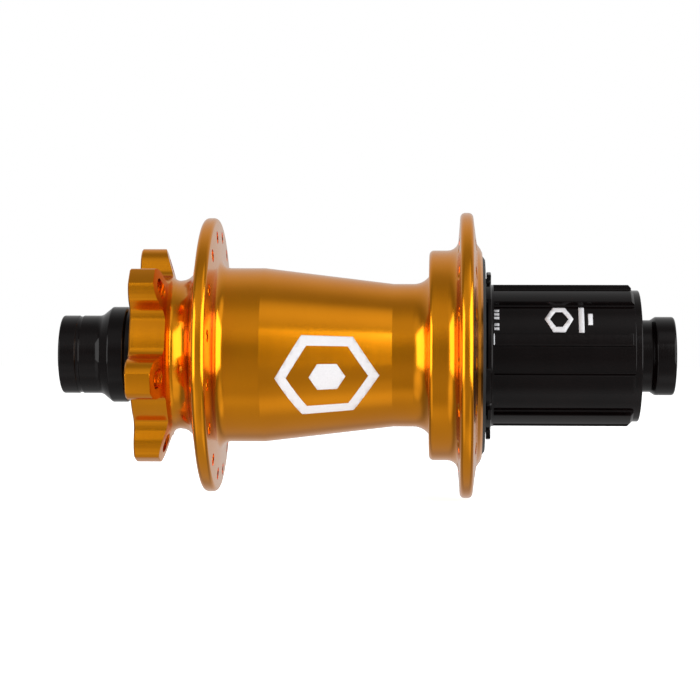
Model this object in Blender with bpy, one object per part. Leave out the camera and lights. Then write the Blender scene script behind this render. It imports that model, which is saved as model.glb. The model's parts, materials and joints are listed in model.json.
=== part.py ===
"""A bicycle rear hub: 12 mm through axle, 148 mm wide, six-bolt disc mount, 32 spokes, splined cassette body.

The axle lies along X with the drive side at +X, +Z is up, and the origin is on the axle line, halfway
between the two end faces. Sizes are in millimetres. An angle is measured about +X, from +Y towards +Z.
"""

import math

import bmesh
import bpy

MM = 0.001

# Overall
HUB_WIDTH = 148.0
FIT = 0.15  # clearance between pieces that touch on the real hub
RUNNING_GAP = 0.3  # clearance between pieces that turn past each other

# Axle tube
AXLE_R = 7.5
AXLE_INNER_R = 6.3
AXLE_SHOULDER_R = 8.7
AXLE_INSET = 4.0  # from each end face of the hub to the axle's end

# End caps
CAP_BORE_R = 6.05
CAP_TIP_R = 9.47
CAP_GROOVE_R = 9.28
CAP_COLLAR_R = 11.6
CAP_FOOT_R = 8.9
DRIVE_CAP_NECK_R = 8.68
O_RING_R = 0.35
O_RING_DEPTH = 0.6

# Hub shell: disc mount
ROTOR_FACE_X = -55.5
ROTOR_LOBES = 6
ROTOR_PHASE = math.radians(15)
ROTOR_BOLT_CIRCLE_R = 22.0
ROTOR_HOLE_R = 2.5
ROTOR_LOBE_R = 4.8
ROTOR_REACH_R = 26.3
ROTOR_VALLEY_R = 18.9
ROTOR_VALLEY_FILLET = 2.8

# Hub shell: flanges and barrel
NECK_R = 18.0
LEFT_FLANGE_R = 33.2
LEFT_FLANGE_X = (-39.1, -36.1)
RIGHT_FLANGE_R = 34.5
RIGHT_FLANGE_X = (22.6, 25.6)
RIGHT_FLANGE_ROOT_X = (22.2, 26.0)  # it is thicker at its root
BARREL_R = 21.07
WAIST_R = 17.3
CONE_X = (-24.7, 6.5)
DRUM_X = 15.1
DRUM_R = 25.4
BOSS_R = 25.4
SHELL_END_X = 27.8
MOUTH_R = 24.45
SPOKE_HOLES = 16
SPOKE_CIRCLE_R = 29.0
SPOKE_HOLE_R = 1.35
LEFT_SPOKE_PHASE = math.radians(13.8)
RIGHT_SPOKE_PHASE = math.radians(3.2)

# Cartridge bearings: outer radius, width, ball radius, number of balls
BEARING_BORE_R = AXLE_R + FIT
SHELL_BEARING = (14.0, 7.0, 1.6, 10)
BODY_BEARING = (12.0, 5.0, 1.05, 12)
RACE_LIP = 0.25  # how far a race's lip stands towards the balls
BALL_GAP = 0.2
SEAL_THICKNESS = 0.45
DISC_BEARING_X = -53.0
DRIVE_BEARING_X = 8.0
INNER_BODY_BEARING_X = 17.4
OUTER_BODY_BEARING_X = 58.0

# Ratchet: the cassette body drives the shell by turning in DRIVE_SENSE about +X
DRIVE_SENSE = -1
RING_TEETH = 48
RING_OUTER_R = 23.3
RING_ROOT_R = 20.3
RING_TIP_R = 19.15
RING_X = (16.8, 24.8)
FACE_LEAN = math.radians(2.4)  # a nose swings out past the tooth's tip
PAWLS = 6
PAWL_PIVOT_R = 15.9
PAWL_HEEL_R = 1.7
PAWL_TIP = (6.3, 3.08)  # along the drive sense and outwards from the pivot, with the pawl engaged
PAWL_NOSE = 1.9
PAWL_THROW = math.radians(13.7)
PAWL_X = (18.2, 23.4)
POCKET_FLOOR = -2.05
POCKET_REACH = 7.4

# Cassette body
CARRIER_R = 17.6
BODY_NECK_R = 18.5
STOP_FLANGE_R = 20.35
STOP_FLANGE_X = (28.8, 29.9)
SPLINE_R = 17.15
SPLINE_ROOT_R = 15.9
SPLINES = 9
SPLINE_EDGE = math.radians(172.3)
SPLINE_WIDTH = math.radians(17.3)
NARROW_SPLINE_WIDTH = math.radians(10.8)
SPLINE_DRAFT = math.radians(0.6)
SPLINE_END_X = 63.7
BODY_END_R = 15.85
BODY_END_X = 65.4
CIRCLIP_X = (63.5, 64.2)

# Sides of a turned piece
SHELL_SIDES = 32
CAP_SIDES = 28
SMALL_SIDES = 20
CAGE_SIDES = 16


def arc(centre, radius, start, end, steps):
    """Points along an arc, both ends included."""
    angles = [start + (end - start) * i / steps for i in range(steps + 1)]
    return [(centre[0] + radius * math.cos(a), centre[1] + radius * math.sin(a)) for a in angles]


def around(radius, angle):
    """The (y, z) place at a radius and an angle about the axle."""
    return radius * math.cos(angle), radius * math.sin(angle)


def material(name, colour, metallic, roughness):
    made = bpy.data.materials.new(name)
    made.use_nodes = True
    shader = made.node_tree.nodes["Principled BSDF"]
    shader.inputs["Base Color"].default_value = (*colour, 1)
    shader.inputs["Metallic"].default_value = metallic
    shader.inputs["Roughness"].default_value = roughness
    made.diffuse_color = (*colour, 1)
    return made


def solid(name, vertices, faces, finish=None):
    """An object from points in millimetres, with its faces turned outwards."""
    mesh = bpy.data.meshes.new(name)
    mesh.from_pydata([tuple(c * MM for c in v) for v in vertices], [], faces)
    work = bmesh.new()
    work.from_mesh(mesh)
    bmesh.ops.recalc_face_normals(work, faces=work.faces)
    work.to_mesh(mesh)
    work.free()
    mesh.shade_smooth()
    mesh.set_sharp_from_angle(angle=math.radians(30))
    if finish:
        mesh.materials.append(finish)
    made = bpy.data.objects.new(name, mesh)
    bpy.context.scene.collection.objects.link(made)
    return made


def turned(name, outline, finish, sides):
    """A ring about the axle, turned from a closed outline of (x, radius)."""
    vertices, faces, count = [], [], len(outline)
    for i in range(sides):
        vertices += [(x, *around(r, 2 * math.pi * i / sides)) for x, r in outline]
        here, there = i * count, (i + 1) % sides * count
        for j in range(count):
            k = (j + 1) % count
            faces.append((here + j, here + k, there + k, there + j))
    return solid(name, vertices, faces, finish)


def prism(name, outline, x_range, finish=None):
    """A closed outline of (y, z) carried along the axle's direction."""
    count = len(outline)
    vertices = [(x, y, z) for x in x_range for y, z in outline]
    faces = [tuple(range(count)), tuple(range(count, 2 * count))]
    faces += [(j, (j + 1) % count, count + (j + 1) % count, count + j) for j in range(count)]
    return solid(name, vertices, faces, finish)


def sleeve(name, inside, outer_r, x_range, finish=None):
    """A round sleeve about the axle, whose hole has an outline of (y, z) seen whole from the axle."""
    count = len(inside)
    outside = [around(outer_r, math.atan2(z, y)) for y, z in inside]
    vertices = [(x, y, z) for x in x_range for y, z in inside + outside]
    faces = []
    for j in range(count):
        k = (j + 1) % count
        for end in (0, 2 * count):
            faces.append((end + j, end + k, end + count + k, end + count + j))
        for loop in (0, count):
            faces.append((loop + j, loop + k, 2 * count + loop + k, 2 * count + loop + j))
    return solid(name, vertices, faces, finish)


def joined(name, pieces):
    """One object from several that don't touch."""
    work = bmesh.new()
    for piece in pieces:
        work.from_mesh(piece.data)
        bpy.data.objects.remove(piece)
    mesh = bpy.data.meshes.new(name)
    work.to_mesh(mesh)
    work.free()
    made = bpy.data.objects.new(name, mesh)
    bpy.context.scene.collection.objects.link(made)
    return made


def combine(target, tool, operation="DIFFERENCE"):
    """Cut a guide out of an object, or add it. The guide stays in the file, hidden."""
    step = target.modifiers.new(tool.name, "BOOLEAN")
    step.operation = operation
    step.object = tool
    tool.hide_render = True
    tool.display_type = "WIRE"


def drills(name, count, circle_r, hole_r, x_range, phase, sides=8):
    """A ring of round cutters that run along the axle's direction."""
    pieces = []
    for i in range(count):
        place = around(circle_r, phase + 2 * math.pi * i / count)
        circle = arc(place, hole_r, 0, 2 * math.pi, sides)[:-1]
        pieces.append(prism(f"{name}_{i}", circle, x_range))
    return joined(name, pieces)


def rotor_outline():
    """The six-lobed outline of the disc mount."""
    fillet_r = ROTOR_VALLEY_R + ROTOR_VALLEY_FILLET
    fillet_y = ROTOR_LOBE_R + ROTOR_VALLEY_FILLET
    swing = math.asin(fillet_y / fillet_r)
    half = math.pi / ROTOR_LOBES
    side = arc((ROTOR_BOLT_CIRCLE_R, 0), ROTOR_LOBE_R, 0, math.pi / 2, 4)
    fillet_place = (fillet_r * math.cos(swing), fillet_y)
    side += arc(fillet_place, ROTOR_VALLEY_FILLET, 1.5 * math.pi, math.pi + swing, 2)
    side.append(around(ROTOR_VALLEY_R, (swing + half) / 2))
    side.append(around(ROTOR_VALLEY_R, half))
    lobe = [(x, -y) for x, y in side[-2:0:-1]] + side
    points = []
    for i in range(ROTOR_LOBES):
        turn = ROTOR_PHASE + 2 * half * i
        for x, y in lobe:
            points.append(around(math.hypot(x, y), turn + math.atan2(y, x)))
    return points


def make_shell(finish):
    bearing_r = SHELL_BEARING[0] + FIT
    ring_r = RING_OUTER_R + FIT
    shoulder_r = SHELL_BEARING[0] - 1.4
    disc_seat_x = DISC_BEARING_X + SHELL_BEARING[1] + FIT
    outline = [
        # outside, from the disc side to the drive side
        (ROTOR_FACE_X, ROTOR_REACH_R),
        (-49.5, ROTOR_REACH_R),
        (-47.3, 19.4),
        *arc((-45.2, NECK_R + 4.1), 4.1, -0.72 * math.pi, -0.02 * math.pi, 4),
        (LEFT_FLANGE_X[0] - 0.3, 30.5),
        (LEFT_FLANGE_X[0], LEFT_FLANGE_R - 1.0),
        (LEFT_FLANGE_X[0] + 0.8, LEFT_FLANGE_R),
        (LEFT_FLANGE_X[1] - 0.5, LEFT_FLANGE_R),
        (LEFT_FLANGE_X[1], LEFT_FLANGE_R - 0.6),
        *arc((LEFT_FLANGE_X[1] + 3.0, BARREL_R + 3.0), 3.0, math.pi, 1.5 * math.pi, 3),
        (CONE_X[0], BARREL_R),
        (CONE_X[1], WAIST_R),
        (11.3, WAIST_R),
        (DRUM_X - 0.3, WAIST_R + 1.6),
        (DRUM_X, WAIST_R + 3.0),
        (DRUM_X, DRUM_R - 1.1),
        (DRUM_X + 1.1, DRUM_R),
        *arc((RIGHT_FLANGE_ROOT_X[0] - 2.8, DRUM_R + 2.8), 2.8, 1.5 * math.pi, 2 * math.pi, 3),
        (RIGHT_FLANGE_X[0], RIGHT_FLANGE_R - 0.9),
        (RIGHT_FLANGE_X[0] + 0.9, RIGHT_FLANGE_R),
        (RIGHT_FLANGE_X[1] - 0.9, RIGHT_FLANGE_R),
        (RIGHT_FLANGE_X[1], RIGHT_FLANGE_R - 0.9),
        (RIGHT_FLANGE_ROOT_X[1], BOSS_R + 2.0),
        (RIGHT_FLANGE_ROOT_X[1] + 0.5, BOSS_R + 1.0),
        (SHELL_END_X - 0.5, BOSS_R),
        (SHELL_END_X, MOUTH_R + FIT),
        # inside, back to the disc side
        (SHELL_END_X, MOUTH_R),
        (RING_X[1] + FIT, MOUTH_R),
        (RING_X[1] + FIT, ring_r),
        (RING_X[0] - FIT, ring_r),
        (RING_X[0] - FIT, bearing_r),
        (DRIVE_BEARING_X - FIT, bearing_r),
        (DRIVE_BEARING_X - FIT, shoulder_r),
        (2.0, shoulder_r),
        (-8.0, 16.0),
        (-37.0, 16.0),
        (-41.0, shoulder_r),
        (disc_seat_x, shoulder_r),
        (disc_seat_x, bearing_r),
        (ROTOR_FACE_X, bearing_r),
    ]
    shell = turned("hub_shell", outline, finish, SHELL_SIDES)
    valleys = sleeve("rotor_valley_cutter", rotor_outline(), 30.0, (ROTOR_FACE_X - 1, -44.6))
    combine(shell, valleys)
    span = (ROTOR_FACE_X - 1, -46.0)
    phase = ROTOR_PHASE
    combine(shell, drills("rotor_drill", ROTOR_LOBES, ROTOR_BOLT_CIRCLE_R, ROTOR_HOLE_R, span, phase))
    for side, span, phase in (
        ("left", LEFT_FLANGE_X, LEFT_SPOKE_PHASE),
        ("right", RIGHT_FLANGE_X, RIGHT_SPOKE_PHASE),
    ):
        through = (span[0] - 1.5, span[1] + 1.5)
        cutter = drills(f"{side}_spoke_drill", SPOKE_HOLES, SPOKE_CIRCLE_R, SPOKE_HOLE_R, through, phase)
        combine(shell, cutter)
    return shell


def make_axle(finish):
    left, right = -HUB_WIDTH / 2 + AXLE_INSET, HUB_WIDTH / 2 - AXLE_INSET
    shoulders = (DISC_BEARING_X + SHELL_BEARING[1] + FIT, DRIVE_BEARING_X - FIT)
    groove_r = AXLE_R - O_RING_DEPTH
    outline = [(left, AXLE_INNER_R), (left, AXLE_R)]
    for x in (left + 3.0, right - 3.0):
        for edge, r in ((-0.5, AXLE_R), (-0.5, groove_r), (0.5, groove_r), (0.5, AXLE_R)):
            outline.append((x + edge, r))
        if x < 0:
            outline += [(shoulders[0], AXLE_R), (shoulders[0], AXLE_SHOULDER_R)]
            outline += [(shoulders[1], AXLE_SHOULDER_R), (shoulders[1], AXLE_R)]
    outline += [(right, AXLE_R), (right, AXLE_INNER_R)]
    turned("axle", outline, finish, SMALL_SIDES)


def make_o_rings(finish):
    for name, x in (("disc_side", -1), ("drive_side", 1)):
        place = x * (HUB_WIDTH / 2 - AXLE_INSET - 3.0)
        circle = arc((place, AXLE_R - 0.2), O_RING_R, 0, 2 * math.pi, 6)[:-1]
        turned(f"{name}_cap_o_ring", circle, finish, SMALL_SIDES)


def make_end_caps(finish):
    face = HUB_WIDTH / 2
    seat = face - AXLE_INSET + FIT
    foot_r = AXLE_R + FIT
    disc_side = [
        (-face, CAP_BORE_R),
        (-face, CAP_TIP_R - 0.3),
        (-face + 0.3, CAP_TIP_R),
        (-69.9, CAP_TIP_R),
        (-69.8, CAP_GROOVE_R),
        (-69.2, CAP_GROOVE_R),
        (-69.1, CAP_TIP_R),
        (-64.4, CAP_TIP_R),
        (-63.5, CAP_TIP_R + 0.4),
        (-61.9, CAP_COLLAR_R - 0.1),
        (-61.6, CAP_COLLAR_R),
        (-54.0, CAP_COLLAR_R),
        (-54.0, CAP_FOOT_R),
        (DISC_BEARING_X - FIT, CAP_FOOT_R),
        (DISC_BEARING_X - FIT, foot_r),
        (-seat, foot_r),
        (-seat, CAP_BORE_R),
    ]
    foot_x = OUTER_BODY_BEARING_X + BODY_BEARING[1] + FIT
    drive_side = [
        (face, CAP_BORE_R),
        (face, CAP_TIP_R - 0.7),
        (face - 0.2, CAP_TIP_R - 0.3),
        (face - 0.7, CAP_TIP_R),
        (69.7, CAP_TIP_R),
        (69.2, CAP_TIP_R - 0.3),
        (68.5, DRIVE_CAP_NECK_R),
        (foot_x, DRIVE_CAP_NECK_R),
        (foot_x, foot_r),
        (seat, foot_r),
        (seat, CAP_BORE_R),
    ]
    turned("disc_side_end_cap", disc_side, finish, CAP_SIDES)
    turned("drive_side_end_cap", drive_side, finish, CAP_SIDES)


def make_bearing(name, start_x, sizes, steel, rubber, nylon):
    """A cartridge bearing: two races, a cage of balls and two seals."""
    outer_r, width, ball_r, balls = sizes
    pitch_r = (BEARING_BORE_R + outer_r) / 2
    middle, reach = start_x + width / 2, ball_r + BALL_GAP
    for race, skin_r, sign in (("inner", BEARING_BORE_R, -1), ("outer", outer_r, 1)):
        groove_r = pitch_r + sign * reach
        lip_r = groove_r - sign * RACE_LIP
        outline = [
            (start_x, skin_r),
            (start_x, lip_r),
            (middle - 0.6 * ball_r, lip_r),
            (middle - 0.3 * ball_r, groove_r),
            (middle + 0.3 * ball_r, groove_r),
            (middle + 0.6 * ball_r, lip_r),
            (start_x + width, lip_r),
            (start_x + width, skin_r),
        ]
        turned(f"{name}_{race}_race", outline, steel, SMALL_SIDES)
    band = [(-0.5, -0.3), (-0.5, 0.3), (0.5, 0.3), (0.5, -0.3)]
    band = [(middle + x * ball_r * 1.4, pitch_r + r * ball_r) for x, r in band]
    cage = turned(f"{name}_ball_cage", band, nylon, CAGE_SIDES)
    spheres = []
    for i in range(balls):
        work = bmesh.new()
        bmesh.ops.create_icosphere(work, subdivisions=1, radius=ball_r * MM)
        y, z = around(pitch_r * MM, 2 * math.pi * i / balls)
        bmesh.ops.translate(work, verts=work.verts, vec=(middle * MM, y, z))
        mesh = bpy.data.meshes.new("ball")
        work.to_mesh(mesh)
        work.free()
        spheres.append(bpy.data.objects.new("ball", mesh))
    combine(cage, joined(f"{name}_balls", spheres), "UNION")
    low = pitch_r - reach + RACE_LIP + RUNNING_GAP
    high = pitch_r + reach - RACE_LIP - FIT
    for side, x in (("disc", start_x + 0.1), ("drive", start_x + width - 0.1 - SEAL_THICKNESS)):
        ring = [(x, low), (x, high), (x + SEAL_THICKNESS, high), (x + SEAL_THICKNESS, low)]
        turned(f"{name}_seal_{side}_side", ring, rubber, SMALL_SIDES)


def tube(name, x_range, inner_r, outer_r, finish, sides=SMALL_SIDES):
    corners = [(x_range[0], inner_r), (x_range[0], outer_r), (x_range[1], outer_r), (x_range[1], inner_r)]
    turned(name, corners, finish, sides)


def make_spacers(finish):
    inner, outer = BEARING_BORE_R, BEARING_BORE_R + 1.1
    start = DRIVE_BEARING_X + SHELL_BEARING[1] + FIT
    tube("ratchet_spacer", (start, INNER_BODY_BEARING_X - FIT), inner, outer, finish)
    start = INNER_BODY_BEARING_X + BODY_BEARING[1] + FIT
    tube("cassette_body_spacer", (start, OUTER_BODY_BEARING_X - FIT), inner, outer, finish)


def make_shell_seals(finish):
    seat_r = SHELL_BEARING[0]
    tube("disc_side_dust_seal", (-55.0, -53.4), CAP_COLLAR_R + RUNNING_GAP, seat_r, finish, CAP_SIDES)
    outline = [
        (RING_X[1] + 0.5, BODY_NECK_R + RUNNING_GAP),
        (RING_X[1] + 0.5, MOUTH_R - FIT),
        (SHELL_END_X, MOUTH_R - FIT),
        (STOP_FLANGE_X[0] - RUNNING_GAP, MOUTH_R - 1.3),
        (STOP_FLANGE_X[0] - RUNNING_GAP, BODY_NECK_R + RUNNING_GAP),
    ]
    turned("drive_side_lip_seal", outline, finish, CAP_SIDES)


def make_drive_ring(finish):
    """The ratchet ring. Its steep faces meet the pawls' noses in the stored turn of the hub."""
    nose_angle = math.atan2(PAWL_TIP[0], PAWL_PIVOT_R + PAWL_TIP[1])
    teeth = []
    for i in range(RING_TEETH):
        face = nose_angle + 2 * math.pi * i / RING_TEETH
        teeth.append(around(RING_ROOT_R, DRIVE_SENSE * face))
        teeth.append(around(RING_TIP_R, DRIVE_SENSE * (face + FACE_LEAN)))
    sleeve("drive_ring", teeth, RING_OUTER_R, RING_X, finish)


def pawl_plane(angle, points, folded=0.0):
    """Place points (along the drive sense, outwards) about the pivot at an angle, folded in by a turn."""
    placed = []
    for along, out in points:
        t = along * math.cos(folded) + out * math.sin(folded)
        n = out * math.cos(folded) - along * math.sin(folded) + PAWL_PIVOT_R
        placed.append(around(math.hypot(t, n), angle + DRIVE_SENSE * math.atan2(t, n)))
    return placed


def make_pawls(steel, spring_steel):
    """Six pawls, folded in as they lie while the hub coasts, each with a leaf spring under it."""
    lean = math.atan2(PAWL_TIP[0], PAWL_PIVOT_R + PAWL_TIP[1])
    chin = (PAWL_TIP[0] - PAWL_NOSE * math.sin(lean), PAWL_TIP[1] - PAWL_NOSE * math.cos(lean))
    profile = arc((0, 0), PAWL_HEEL_R, math.radians(100), math.radians(290), 6) + [chin, PAWL_TIP]
    leaf = [(1.3, -1.9), (2.6, -1.9), (5.2, -0.95), (5.2, -0.62), (2.5, -1.55), (1.3, -1.6)]
    for i in range(PAWLS):
        angle = 2 * math.pi * i / PAWLS
        outline = pawl_plane(angle, profile, PAWL_THROW)
        pawl = prism(f"pawl_{i + 1}", outline, PAWL_X, steel)
        pivot = around(PAWL_PIVOT_R * MM, angle)
        pawl.location = (0, *pivot)
        for vertex in pawl.data.vertices:
            vertex.co.y -= pivot[0]
            vertex.co.z -= pivot[1]
        spring_x = (PAWL_X[0] + 0.4, PAWL_X[1] - 0.4)
        prism(f"pawl_spring_{i + 1}", pawl_plane(angle, leaf), spring_x, spring_steel)


def spline_outline():
    """The spaces between the splines: one spline is narrow, so that a cassette fits in one place only."""
    clear_r = SPLINE_R + 1.0
    pitch = 2 * math.pi / SPLINES
    points = []
    for i in range(SPLINES):
        end = SPLINE_EDGE + pitch * i
        start = end - (SPLINE_WIDTH if i else NARROW_SPLINE_WIDTH)
        following = SPLINE_EDGE + pitch * (i + 1) - (SPLINE_WIDTH if i + 1 < SPLINES else NARROW_SPLINE_WIDTH)
        points += [around(clear_r, start + SPLINE_DRAFT), around(clear_r, end - SPLINE_DRAFT)]
        floor = [end + (following - end) * t / 3 for t in range(4)]
        points += [around(SPLINE_ROOT_R, a) for a in floor]
    return points


def make_cassette_body(finish):
    seat_r, bore_r = BODY_BEARING[0] + FIT, BODY_BEARING[0] - 1.4
    inner_seat = INNER_BODY_BEARING_X + BODY_BEARING[1] + FIT
    outer_seat = OUTER_BODY_BEARING_X - FIT
    outline = [
        # outside
        (INNER_BODY_BEARING_X - 0.4, CARRIER_R),
        (RING_X[1] - 0.2, CARRIER_R),
        (RING_X[1] - 0.2, BODY_NECK_R),
        (STOP_FLANGE_X[0], BODY_NECK_R),
        (STOP_FLANGE_X[0], STOP_FLANGE_R),
        (STOP_FLANGE_X[1], STOP_FLANGE_R),
        (STOP_FLANGE_X[1], SPLINE_R),
        (SPLINE_END_X - 0.6, SPLINE_R),
        (SPLINE_END_X, SPLINE_R - 0.7),
        (SPLINE_END_X, BODY_END_R),
        (BODY_END_X - 0.3, BODY_END_R),
        (BODY_END_X, BODY_END_R - 0.4),
        # inside
        (BODY_END_X, seat_r),
        (CIRCLIP_X[1] + 0.1, seat_r),
        (CIRCLIP_X[1] + 0.1, seat_r + 0.8),
        (CIRCLIP_X[0] - 0.1, seat_r + 0.8),
        (CIRCLIP_X[0] - 0.1, seat_r),
        (outer_seat, seat_r),
        (outer_seat, bore_r),
        (inner_seat, bore_r),
        (inner_seat, seat_r),
        (INNER_BODY_BEARING_X - 0.4, seat_r),
    ]
    body = turned("cassette_body", outline, finish, SHELL_SIDES)
    spaces = sleeve("spline_cutter", spline_outline(), SPLINE_R + 3, (STOP_FLANGE_X[1] + 0.6, BODY_END_X + 1))
    combine(body, spaces)
    seat = arc((0, 0), PAWL_HEEL_R + RUNNING_GAP, math.radians(120), math.radians(270), 5)
    reach = [(5.2, POCKET_FLOOR), (POCKET_REACH, -0.2), (POCKET_REACH + 0.6, 4.0), (-1.0, 4.0)]
    pockets = []
    for i in range(PAWLS):
        pocket = pawl_plane(2 * math.pi * i / PAWLS, seat + reach)
        span = (PAWL_X[0] - RUNNING_GAP, PAWL_X[1] + RUNNING_GAP)
        pockets.append(prism(f"pocket_{i}", pocket, span))
    combine(body, joined("pawl_pocket_cutter", pockets))


def make_circlip(finish):
    """An open snap ring that keeps the outer bearing in the cassette body."""
    low, high = BODY_BEARING[0] - 0.9, BODY_BEARING[0] + 0.75
    angles = [math.radians(20 + 320 * i / 16) for i in range(17)]
    outline = [around(high, a) for a in angles] + [around(low, a) for a in reversed(angles)]
    prism("cassette_body_circlip", outline, CIRCLIP_X, finish)


def main():
    for old in list(bpy.data.objects):
        bpy.data.objects.remove(old)
    gold = material("gold_anodised", (0.62, 0.24, 0.01), 1.0, 0.28)
    black = material("black_anodised", (0.012, 0.011, 0.012), 0.6, 0.35)
    grey = material("turned_aluminium", (0.6, 0.6, 0.62), 1.0, 0.3)
    steel = material("hardened_steel", (0.42, 0.43, 0.45), 1.0, 0.25)
    rubber = material("black_rubber", (0.015, 0.015, 0.015), 0.0, 0.6)
    nylon = material("bearing_cage", (0.35, 0.33, 0.3), 0.2, 0.4)
    make_shell(gold)
    make_axle(grey)
    make_o_rings(rubber)
    make_end_caps(black)
    make_bearing("disc_side_bearing", DISC_BEARING_X, SHELL_BEARING, steel, rubber, nylon)
    make_bearing("drive_side_bearing", DRIVE_BEARING_X, SHELL_BEARING, steel, rubber, nylon)
    make_bearing("inner_body_bearing", INNER_BODY_BEARING_X, BODY_BEARING, steel, rubber, nylon)
    make_bearing("outer_body_bearing", OUTER_BODY_BEARING_X, BODY_BEARING, steel, rubber, nylon)
    make_spacers(grey)
    make_shell_seals(rubber)
    make_drive_ring(steel)
    make_pawls(steel, steel)
    make_cassette_body(black)
    make_circlip(steel)


main()
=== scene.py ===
"""The looks of a bicycle rear hub: fine pieces and materials built around its CAD frame.

The axle lies along X with the drive side at +X, and +Z is up. Sizes are in millimetres, and an angle
is measured about +X, from +Y towards +Z, so that 180 degrees faces the camera.
"""

import json
import math

import bmesh
import bpy
from mathutils import Matrix, Vector


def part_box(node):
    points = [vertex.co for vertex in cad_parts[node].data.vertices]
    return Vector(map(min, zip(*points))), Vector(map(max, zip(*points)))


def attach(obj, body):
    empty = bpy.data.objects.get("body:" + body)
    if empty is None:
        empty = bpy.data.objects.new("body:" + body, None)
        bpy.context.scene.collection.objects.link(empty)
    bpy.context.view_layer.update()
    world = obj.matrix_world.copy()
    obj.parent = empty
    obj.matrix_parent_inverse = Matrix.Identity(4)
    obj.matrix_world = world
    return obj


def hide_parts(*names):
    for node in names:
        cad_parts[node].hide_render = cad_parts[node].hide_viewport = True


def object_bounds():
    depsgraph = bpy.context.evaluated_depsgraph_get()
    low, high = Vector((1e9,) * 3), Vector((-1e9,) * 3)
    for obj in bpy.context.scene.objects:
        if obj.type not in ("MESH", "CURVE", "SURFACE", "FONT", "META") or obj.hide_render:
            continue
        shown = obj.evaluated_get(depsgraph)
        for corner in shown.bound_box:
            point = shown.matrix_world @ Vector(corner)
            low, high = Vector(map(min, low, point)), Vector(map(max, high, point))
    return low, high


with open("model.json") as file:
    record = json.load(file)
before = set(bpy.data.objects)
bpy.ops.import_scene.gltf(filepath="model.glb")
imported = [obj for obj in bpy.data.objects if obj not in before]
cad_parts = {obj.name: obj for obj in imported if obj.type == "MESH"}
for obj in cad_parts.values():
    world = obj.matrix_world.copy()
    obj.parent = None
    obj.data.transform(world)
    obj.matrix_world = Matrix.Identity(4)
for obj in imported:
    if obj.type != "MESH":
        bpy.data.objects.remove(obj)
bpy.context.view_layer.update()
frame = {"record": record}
BODY_OF = {node: body for body, nodes in frame["record"]["behaviour"]["bodies"].items() for node in nodes}
MM = 0.001
FACING = math.pi  # the angle that faces the camera

# Fineness of turned pieces
LARGE_SIDES = 240
SMALL_SIDES = 120
FILLET_STEPS = 5

# Room between a part and its seat
SEAT_GAP = 0.15

# Disc mount: a lobe round each bolt, with milled valleys between them
LOBES = 6
LOBE_PHASE = math.radians(15)
LOBE_R = 4.8
LOBE_REACH_R = 26.3
LOBE_END_X = -49.5
LOBE_EDGE = 0.3
VALLEY_R = 18.9
VALLEY_FILLET = 2.8
VALLEY_END_X = -44.6
BOLT_CIRCLE_R = 22.0
BOLT_R = 2.5
BOLT_CHAMFER = 0.4
BOLT_END_X = -46.5
THREAD_PITCH = 0.8
THREAD_DEPTH = 0.3

# Hub shell. A flange is its left x, its right x and its rim's radius. The right flange's root is the
# left x at the drum, the right x, and the radius there.
NECK_X = (-46.85, -41.87)
NECK_R = 18.0
LEFT_FLANGE = (-39.1, -36.1, 33.2)
LEFT_FLANGE_DISH_R = 30.6
RIGHT_FLANGE = (22.6, 25.5, 34.5)
RIGHT_FLANGE_ROOT = (21.95, 26.5, 27.0)
BARREL_R = 21.07
WAIST_R = 17.3
WAIST_FILLET = 4.71
WAIST_END_X = 11.3
CONE_X = (-24.7, 6.5)
DRUM_X = 15.1
DRUM_R = 25.4
BOSS_R = 25.9
MOUTH_R = 24.45
HOLLOW_X = (-37.0, -8.0)
HOLLOW_R = 16.0
HOLLOW_ENDS_X = (-41.0, 2.0)
SPOKE_HOLES = 16
SPOKE_CIRCLE_R = 29.0
SPOKE_HOLE_R = 1.35
SPOKE_PHASES = (math.radians(13.8), math.radians(3.2))
SPOKE_SINK = 0.15
SPOKE_CONE = 1.2

# Cartridge bearings: first x, outer radius, width, ball radius, number of balls
BEARINGS = {
    "disc_side_bearing": (-53.0, 14.0, 7.0, 1.6, 10),
    "drive_side_bearing": (8.0, 14.0, 7.0, 1.6, 10),
    "inner_body_bearing": (17.4, 12.0, 5.0, 1.05, 12),
    "outer_body_bearing": (58.0, 12.0, 5.0, 1.05, 12),
}
BORE_R = 7.65
TRACK_GAP = 0.2

# End caps, the axle and its O-rings
CAP_BORE_R = 6.05
CAP_TIP_R = 9.47
CAP_SEAT = 4.15
AXLE_R = 7.5
AXLE_BORE_R = 6.3
SHOULDER_R = 8.7
O_RING_INSET = 3.0

# Ratchet. A pawl's tip is measured from its pivot: along the drive sense, then outwards.
RING_TEETH = 48
RING_TIP_R = 19.15
RING_ROOT_R = 20.3
RING_LEAN = math.radians(2.4)
PAWLS = 6
PAWL_PIVOT_R = 15.9
PAWL_TIP = (6.3, 3.08)
PAWL_THROW = math.radians(13.7)
POCKET_X = (17.9, 23.7)

# Cassette body. The stop flange is its left x, its right x and its rim's radius, and the body's end is
# its x and its radius.
CARRIER_R = 17.6
CARRIER_END_X = 24.6
SPLINE_R = 17.15
SPLINE_ROOT_R = 15.9
SPLINES = 9
SPLINE_EDGE = math.radians(172.3)
SPLINE_WIDTH = math.radians(17.3)
NARROW_SPLINE_WIDTH = math.radians(10.8)
STOP_FLANGE = (28.8, 29.9, 20.35)
BODY_NECK_R = 18.5
SPLINE_END_X = 63.7
BODY_END = (65.4, 15.85)
BODY_BORE_R = 10.6
SNAP_GROOVE_X = (63.4, 64.3)
SNAP_GROOVE_DEPTH = 0.8
SNAP_RING_R = (11.1, 12.75)

# Print: its thickness, and the place of the cassette body's marks
PRINT_THICKNESS = 0.045
PRINT_SINK = 0.02
BODY_PRINT_ANGLE = math.radians(147)

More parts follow.
